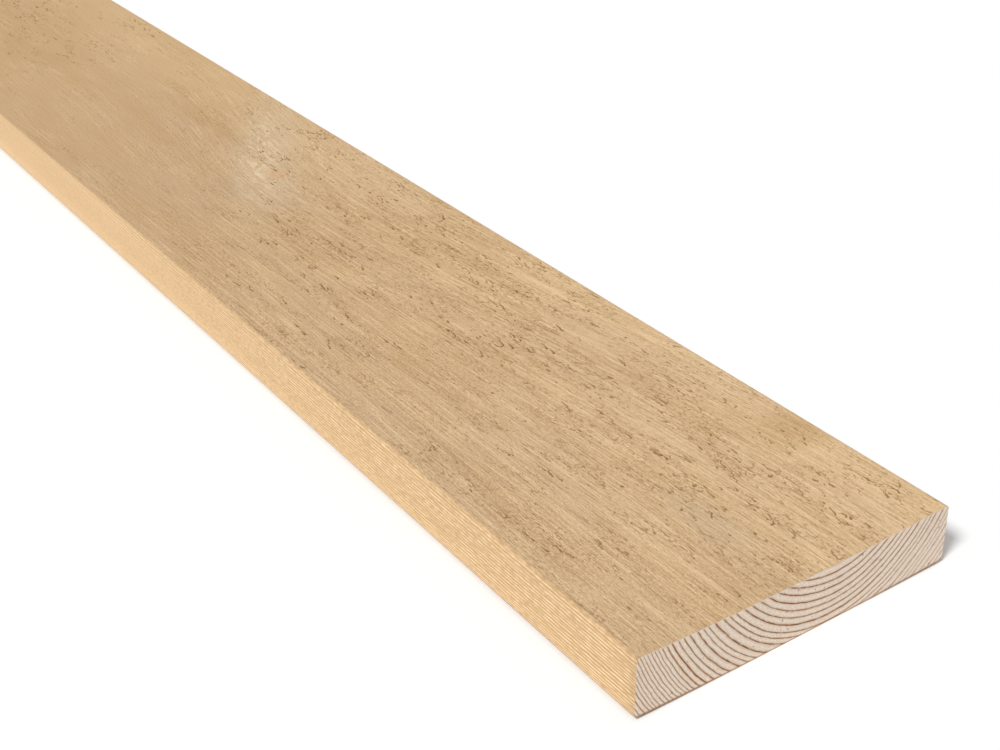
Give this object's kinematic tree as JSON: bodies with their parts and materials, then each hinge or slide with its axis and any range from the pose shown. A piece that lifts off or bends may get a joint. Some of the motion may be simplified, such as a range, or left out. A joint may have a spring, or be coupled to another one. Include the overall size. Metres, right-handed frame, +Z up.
{
  "type": "timber plank",
  "caption": "Straight sawn softwood plank with rough-sawn faces, planed long edges and square-cut ends, laid flat as a board for building work.",
  "frame": {"origin": "under the middle of the plank, on the lowest line of its cupped underside", "axes": "+X along the grain, +Y across the width, +Z up through the thickness"},
  "size_m": [1.8, 0.2, 0.0339],
  "materials": {
    "softwood": "rough-sawn faces, planed edges, sawn end grain, unfinished"
  },
  "bodies": {
    "root": {"plank": "softwood"}
  },
  "joints": []
}
